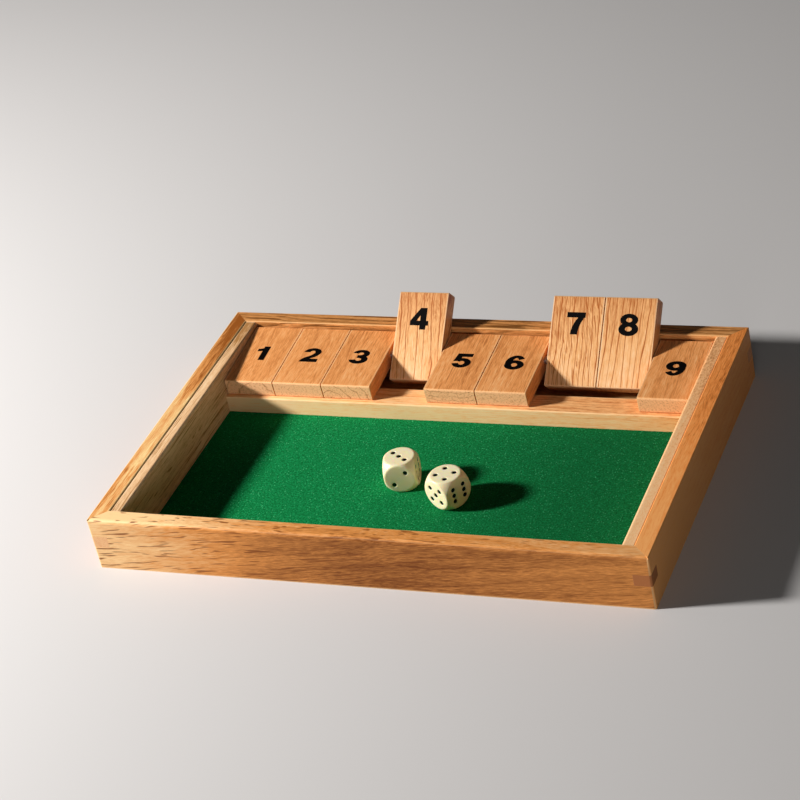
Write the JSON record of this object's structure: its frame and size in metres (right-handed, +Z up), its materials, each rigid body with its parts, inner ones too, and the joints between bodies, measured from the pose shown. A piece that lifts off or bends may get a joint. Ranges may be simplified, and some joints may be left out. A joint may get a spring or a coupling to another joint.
{
  "type": "shut the box game",
  "caption": "Shallow mitred wooden tray with a green felt playing field, a row of flip-up number tiles on a steel rod, and dice.",
  "frame": {"origin": "middle of the tray's underside, on the table", "axes": "+X along the row of tiles from 1 to 9, +Y from the playing field to the tiles, +Z up"},
  "size_m": [0.28, 0.188, 0.0455],
  "materials": {
    "board_wood": "satin lacquered oak-like wood",
    "tile_wood": "satin lacquered wood, straight grain",
    "pale_wood": "satin lacquered pale wood",
    "key_wood": "lacquered end grain",
    "base_wood": "plain plywood",
    "felt": "short dense felt",
    "steel": "drawn",
    "ivory_plastic": "polished",
    "pip_enamel": "glossy enamel"
  },
  "bodies": {
    "tray": {"front_board": "board_wood", "back_board": "board_wood", "left_board": "board_wood", "right_board": "board_wood", "corner_key_front_left": "key_wood", "corner_key_front_right": "key_wood", "corner_key_back_left": "key_wood", "corner_key_back_right": "key_wood", "base_board": "base_wood", "base_pins": "steel", "felt_pad": "felt", "tile_ledge": "pale_wood", "left_liner": "pale_wood", "right_liner": "pale_wood", "pivot_rod": "steel"},
    "tile_1": {"tile_1": "tile_wood"},
    "tile_2": {"tile_2": "tile_wood"},
    "tile_3": {"tile_3": "tile_wood"},
    "tile_4": {"tile_4": "tile_wood"},
    "tile_5": {"tile_5": "tile_wood"},
    "tile_6": {"tile_6": "tile_wood"},
    "tile_7": {"tile_7": "tile_wood"},
    "tile_8": {"tile_8": "tile_wood"},
    "tile_9": {"tile_9": "tile_wood"},
    "die_left": {"die_left": "ivory_plastic", "die_left_pips": "pip_enamel"},
    "die_right": {"die_right": "ivory_plastic", "die_right_pips": "pip_enamel"}
  },
  "joints": [
    {"name": "tile_1_flip", "type": "hinge", "parent": "tray", "child": "tile_1", "pos_m": [-0.11105, 0.06892, 0.02066], "axis": [-1, 0, 0], "range_deg": [0, 141.6]},
    {"name": "tile_2_flip", "type": "hinge", "parent": "tray", "child": "tile_2", "pos_m": [-0.08375, 0.06892, 0.02066], "axis": [-1, 0, 0], "range_deg": [0, 141.6]},
    {"name": "tile_3_flip", "type": "hinge", "parent": "tray", "child": "tile_3", "pos_m": [-0.05645, 0.06892, 0.02066], "axis": [-1, 0, 0], "range_deg": [0, 141.6]},
    {"name": "tile_4_flip", "type": "hinge", "parent": "tray", "child": "tile_4", "pos_m": [-0.02745, 0.06892, 0.02066], "axis": [1, 0, 0], "range_deg": [0, 141.6]},
    {"name": "tile_5_flip", "type": "hinge", "parent": "tray", "child": "tile_5", "pos_m": [-0.00015, 0.06892, 0.02066], "axis": [-1, 0, 0], "range_deg": [0, 141.6]},
    {"name": "tile_6_flip", "type": "hinge", "parent": "tray", "child": "tile_6", "pos_m": [0.02715, 0.06892, 0.02066], "axis": [-1, 0, 0], "range_deg": [0, 141.6]},
    {"name": "tile_7_flip", "type": "hinge", "parent": "tray", "child": "tile_7", "pos_m": [0.05615, 0.06892, 0.02066], "axis": [1, 0, 0], "range_deg": [0, 141.6]},
    {"name": "tile_8_flip", "type": "hinge", "parent": "tray", "child": "tile_8", "pos_m": [0.08345, 0.06892, 0.02066], "axis": [1, 0, 0], "range_deg": [0, 141.6]},
    {"name": "tile_9_flip", "type": "hinge", "parent": "tray", "child": "tile_9", "pos_m": [0.11075, 0.06892, 0.02066], "axis": [-1, 0, 0], "range_deg": [0, 141.6]},
    {"name": "die_left_lift", "type": "slide", "parent": "tray", "child": "die_left", "axis": [0, 0, 1], "range_m": [0, 0.06]},
    {"name": "die_right_lift", "type": "slide", "parent": "tray", "child": "die_right", "axis": [0, 0, 1], "range_m": [0, 0.06]}
  ]
}
